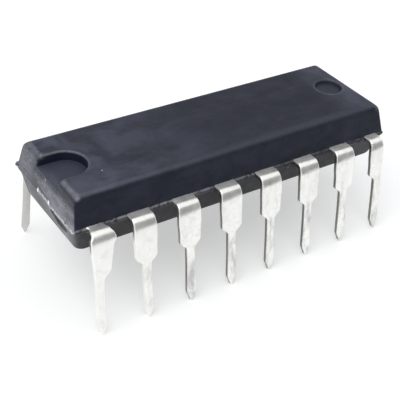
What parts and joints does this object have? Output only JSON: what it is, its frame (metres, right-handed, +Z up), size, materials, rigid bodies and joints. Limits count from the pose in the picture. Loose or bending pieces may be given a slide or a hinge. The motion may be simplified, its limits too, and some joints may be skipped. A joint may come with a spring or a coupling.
{
  "type": "dip integrated circuit chip",
  "caption": "Dual in-line chip: dark moulded body with an end notch, two rows of splayed tinned leads, and die, paddle and bond wires inside.",
  "frame": {"origin": "under the middle of the body, in the plane of the lead tips", "axes": "+X along the body away from the notch, +Y across the body towards the row of the higher-numbered leads, +Z up out of the top face"},
  "size_m": [0.0194, 0.0094, 0.0072],
  "materials": {
    "moulding": "fine matte moulding compound, charcoal with a blue tint",
    "tinned_lead": "matte tin plating",
    "frame_alloy": "stamped nickel-iron strip, dull grey where it is cut",
    "die_adhesive": "silver-filled adhesive",
    "silicon": "polished silicon",
    "gold_wire": "drawn gold wire"
  },
  "bodies": {
    "root": {"body": "moulding", "die_paddle": "frame_alloy", "die_attach": "die_adhesive", "die": "silicon", "lead_1": "tinned_lead", "lead_2": "tinned_lead", "lead_3": "tinned_lead", "lead_4": "tinned_lead", "lead_5": "tinned_lead", "lead_6": "tinned_lead", "lead_7": "tinned_lead", "lead_8": "tinned_lead", "lead_9": "tinned_lead", "lead_10": "tinned_lead", "lead_11": "tinned_lead", "lead_12": "tinned_lead", "lead_13": "tinned_lead", "lead_14": "tinned_lead", "lead_15": "tinned_lead", "lead_16": "tinned_lead", "bond_wire_1": "gold_wire", "bond_wire_2": "gold_wire", "bond_wire_3": "gold_wire", "bond_wire_4": "gold_wire", "bond_wire_5": "gold_wire", "bond_wire_6": "gold_wire", "bond_wire_7": "gold_wire", "bond_wire_8": "gold_wire", "bond_wire_9": "gold_wire", "bond_wire_10": "gold_wire", "bond_wire_11": "gold_wire", "bond_wire_12": "gold_wire", "bond_wire_13": "gold_wire", "bond_wire_14": "gold_wire", "bond_wire_15": "gold_wire", "bond_wire_16": "gold_wire"}
  },
  "joints": []
}
